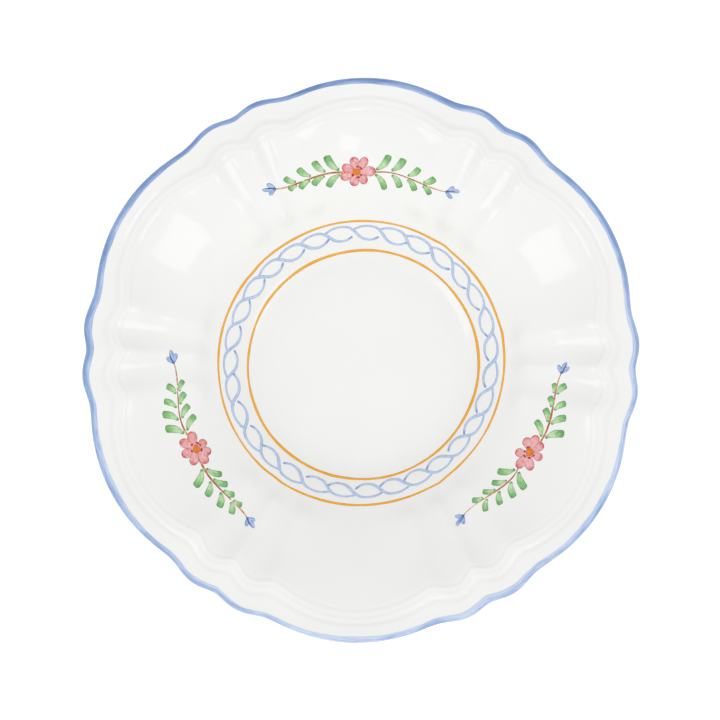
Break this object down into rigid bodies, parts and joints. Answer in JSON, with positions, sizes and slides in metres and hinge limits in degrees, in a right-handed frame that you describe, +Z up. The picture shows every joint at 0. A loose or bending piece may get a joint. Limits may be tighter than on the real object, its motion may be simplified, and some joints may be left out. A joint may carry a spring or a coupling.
{
  "type": "serving bowl",
  "caption": "Shallow round serving bowl with a scalloped, moulded rim, a flat well, a foot ring and hand-painted flower sprays, rope band and ring lines.",
  "frame": {"origin": "centre of the foot ring's resting plane, under the middle of the bowl", "axes": "+Z up, out of the bowl's open mouth; +Y from the centre through the flower of the first spray; +X to the right of it, seen from above"},
  "size_m": [0.3252, 0.33, 0.0641],
  "materials": {
    "porcelain": "glossy white glaze over a formed porcelain body",
    "foot": "glazed sides with a bare, ground resting face",
    "rim_blue": "brushed blue enamel under a gloss glaze, streaky",
    "rope_blue": "thin pale blue brush enamel, gloss",
    "bud_blue": "blue brush enamel, gloss, darker where strokes start",
    "ochre": "thin ochre brush line, gloss",
    "leaf_green": "translucent green brush enamel, gloss",
    "rose": "translucent rose brush enamel, gloss",
    "flower_orange": "orange brush enamel, gloss",
    "stem_brown": "thin red-brown brush line, gloss"
  },
  "bodies": {
    "root": {"bowl_body": "porcelain", "foot_ring": "foot", "rim_band": "rim_blue", "outer_ring_line": "ochre", "inner_ring_line": "ochre", "rope_band": "rope_blue", "spray_1_stem": "stem_brown", "spray_1_leaves": "leaf_green", "spray_1_petals": "rose", "spray_1_centre": "flower_orange", "spray_1_buds": "bud_blue", "spray_2_stem": "stem_brown", "spray_2_leaves": "leaf_green", "spray_2_petals": "rose", "spray_2_centre": "flower_orange", "spray_2_buds": "bud_blue", "spray_3_stem": "stem_brown", "spray_3_leaves": "leaf_green", "spray_3_petals": "rose", "spray_3_centre": "flower_orange", "spray_3_buds": "bud_blue"}
  },
  "joints": []
}
